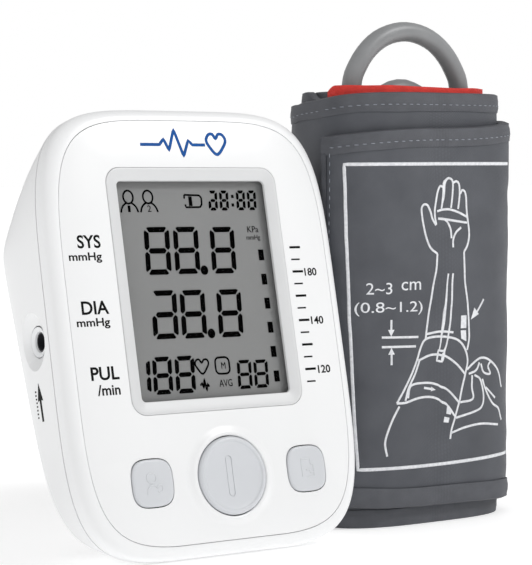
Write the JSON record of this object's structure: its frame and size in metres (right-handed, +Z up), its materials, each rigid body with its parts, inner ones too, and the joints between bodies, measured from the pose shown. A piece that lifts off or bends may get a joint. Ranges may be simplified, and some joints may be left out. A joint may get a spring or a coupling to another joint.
{
  "type": "upper arm blood pressure monitor",
  "caption": "Upright white upper arm blood pressure monitor with a segment display and soft keys, beside its rolled fabric arm cuff with an air hose arched out of the core.",
  "frame": {"origin": "bottom centre of the monitor and the rolled cuff together, on the surface they stand on", "axes": "+Z up, +X from the monitor to the rolled cuff, -Y towards the user, so that the display faces -Y and leans back by 13 degrees"},
  "size_m": [0.1793, 0.063, 0.165],
  "materials": {
    "white_shell": "fine satin moulding",
    "white_panel": "smooth, slightly glossy",
    "bezel_grey": "satin",
    "clear_window": "clear acrylic",
    "lcd_glass": "liquid crystal cell with black segments",
    "button_grey": "satin",
    "dark_plastic": "moulded",
    "board_green": "solder mask",
    "plated_steel": "nickel plated",
    "cell_jacket": "printed foil jacket over a metal can",
    "foot_rubber": "soft",
    "tube_silicone": "translucent silicone",
    "jack_white": "moulded",
    "cuff_cloth": "fine woven nylon with bound edges",
    "cuff_lining": "brushed loop pile",
    "bladder_film": "thin film",
    "red_cloth": "stitched tape",
    "hose_grey": "smooth matt hose"
  },
  "bodies": {
    "monitor": {"air_jack": "jack_white", "air_manifold": "tube_silicone", "battery_1": "cell_jacket", "battery_2": "cell_jacket", "battery_3": "cell_jacket", "battery_4": "cell_jacket", "battery_spring_1": "plated_steel", "battery_spring_2": "plated_steel", "battery_spring_3": "plated_steel", "battery_spring_4": "plated_steel", "board_screw_1": "plated_steel", "board_screw_2": "plated_steel", "buzzer": "dark_plastic", "contact_plate_lower": "plated_steel", "contact_plate_upper": "plated_steel", "contact_strip": "dark_plastic", "controller_chip": "dark_plastic", "display_bezel": "bezel_grey", "display_window": "clear_window", "exhaust_valve": "plated_steel", "face_panel": "white_panel", "foot_1": "foot_rubber", "foot_2": "foot_rubber", "foot_3": "foot_rubber", "foot_4": "foot_rubber", "front_shell": "white_shell", "housing_screw_1": "plated_steel", "housing_screw_2": "plated_steel", "housing_screw_3": "plated_steel", "housing_screw_4": "plated_steel", "jack_tube": "tube_silicone", "lcd_glass": "lcd_glass", "lcd_holder": "dark_plastic", "main_board": "board_green", "memory_switch": "dark_plastic", "pressure_sensor": "plated_steel", "pump_head": "dark_plastic", "pump_motor": "plated_steel", "pump_tube": "tube_silicone", "rear_shell": "white_shell", "sensor_tube": "tube_silicone", "start_switch": "dark_plastic", "user_switch": "dark_plastic", "valve_tube": "tube_silicone"},
    "start_key": {"start_button": "button_grey", "start_plunger": "dark_plastic"},
    "user_key": {"user_button": "button_grey", "user_plunger": "dark_plastic"},
    "memory_key": {"memory_button": "button_grey", "memory_plunger": "dark_plastic"},
    "cover": {"battery_cover": "white_shell"},
    "crank": {"pump_crank": "plated_steel"},
    "armature": {"valve_armature": "dark_plastic"},
    "cuff": {"cuff_cloth": "cuff_cloth", "cuff_lining": "cuff_lining", "cuff_bladder": "bladder_film", "red_edging": "red_cloth", "hose_port": "dark_plastic", "air_hose": "hose_grey", "air_plug": "dark_plastic"}
  },
  "joints": [
    {"name": "start_press", "type": "slide", "parent": "monitor", "child": "start_key", "axis": [0, 0.9744, -0.225], "range_m": [0, 0.0008], "stiffness_N_per_m": 600},
    {"name": "user_press", "type": "slide", "parent": "monitor", "child": "user_key", "axis": [0, 0.9744, -0.225], "range_m": [0, 0.0008], "stiffness_N_per_m": 600},
    {"name": "memory_press", "type": "slide", "parent": "monitor", "child": "memory_key", "axis": [0, 0.9744, -0.225], "range_m": [0, 0.0008], "stiffness_N_per_m": 600},
    {"name": "cover_hinge", "type": "hinge", "parent": "monitor", "child": "cover", "pos_m": [-0.03869, 0.00135, 0.01963], "axis": [-1, 0, 0], "range_deg": [0, 75]},
    {"name": "crank_spin", "type": "hinge", "parent": "monitor", "child": "crank", "pos_m": [-0.03869, 0.01029, 0.09455], "axis": [1, 0, 0], "continuous": true},
    {"name": "valve_slide", "type": "slide", "parent": "monitor", "child": "armature", "axis": [1, 0, 0], "range_m": [0, 0.001], "stiffness_N_per_m": 60},
    {"name": "cuff_lift", "type": "slide", "parent": "monitor", "child": "cuff", "axis": [0, 0, 1], "range_m": [0, 0.2]}
  ]
}
